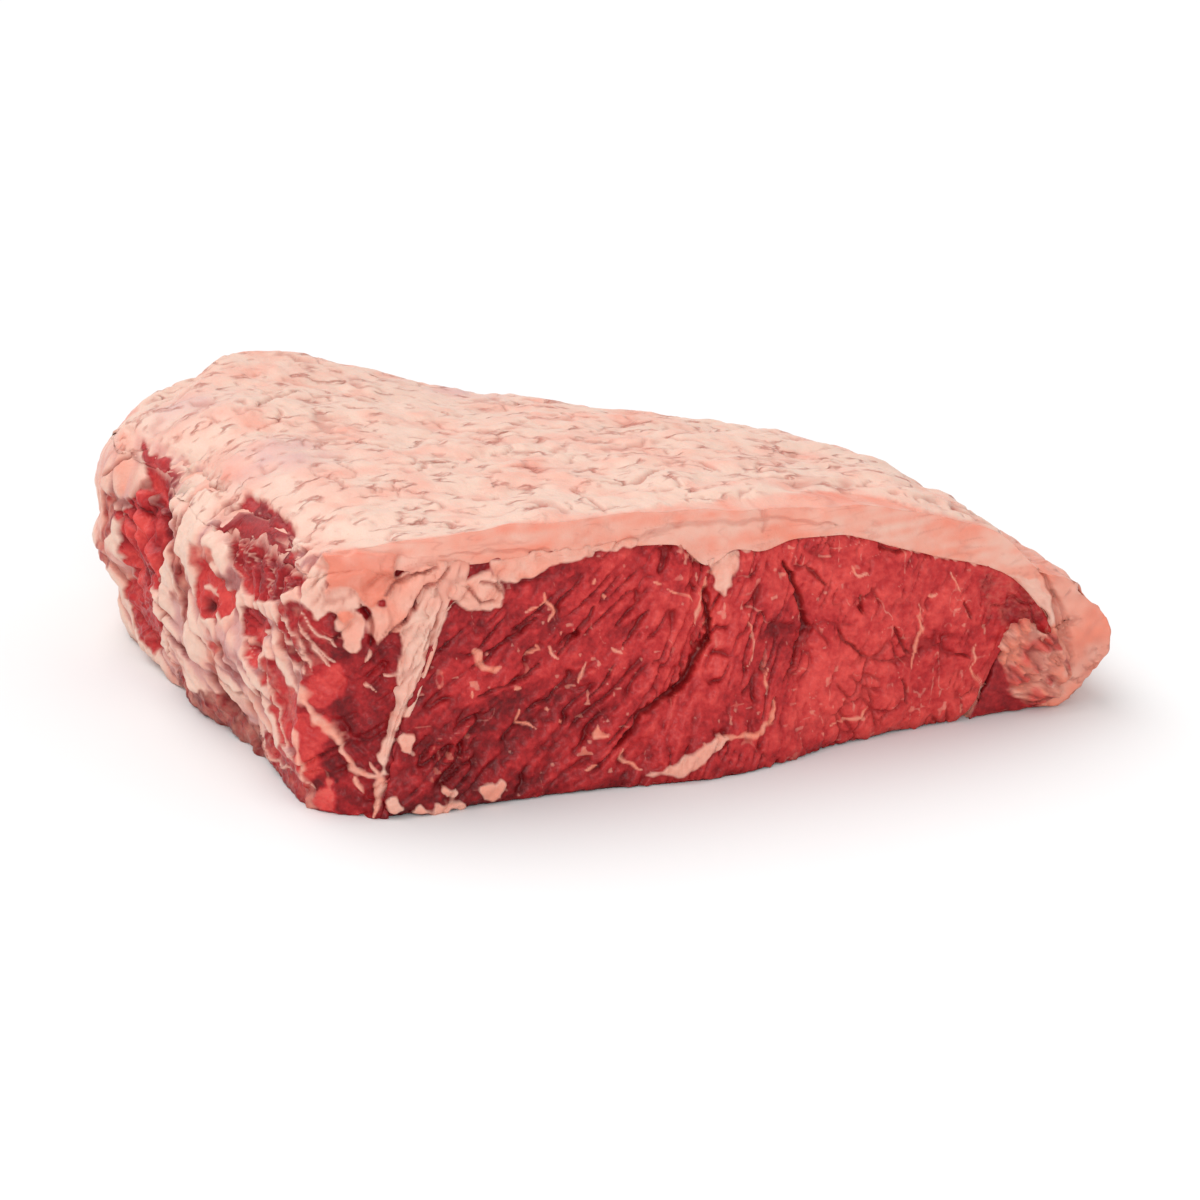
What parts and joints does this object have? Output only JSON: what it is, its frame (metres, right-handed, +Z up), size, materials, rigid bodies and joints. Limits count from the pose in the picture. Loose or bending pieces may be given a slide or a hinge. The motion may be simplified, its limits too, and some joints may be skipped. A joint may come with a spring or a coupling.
{
  "type": "raw beef striploin joint",
  "caption": "Raw beef striploin joint lying fat side up: a thick fat cap, a red cut face of lean at the front, and a backbone side of fat with patches of lean.",
  "frame": {"origin": "bottom centre of the bounding box, on the plane the joint lies on", "axes": "+X across the loin from the backbone side to the thin flank edge, +Y along the loin from the front cut face to the far one, +Z up through the fat cap"},
  "size_m": [0.2514, 0.2142, 0.0751],
  "materials": {
    "cap_fat": "moist, satin",
    "lean": "wet, glossy",
    "seam_fat": "moist, satin",
    "chine_fat": "moist, satin"
  },
  "bodies": {
    "root": {"fat_cap": "cap_fat", "eye_muscle": "lean", "seam_fat": "seam_fat", "side_muscle": "lean", "chine_fat": "chine_fat"}
  },
  "joints": []
}
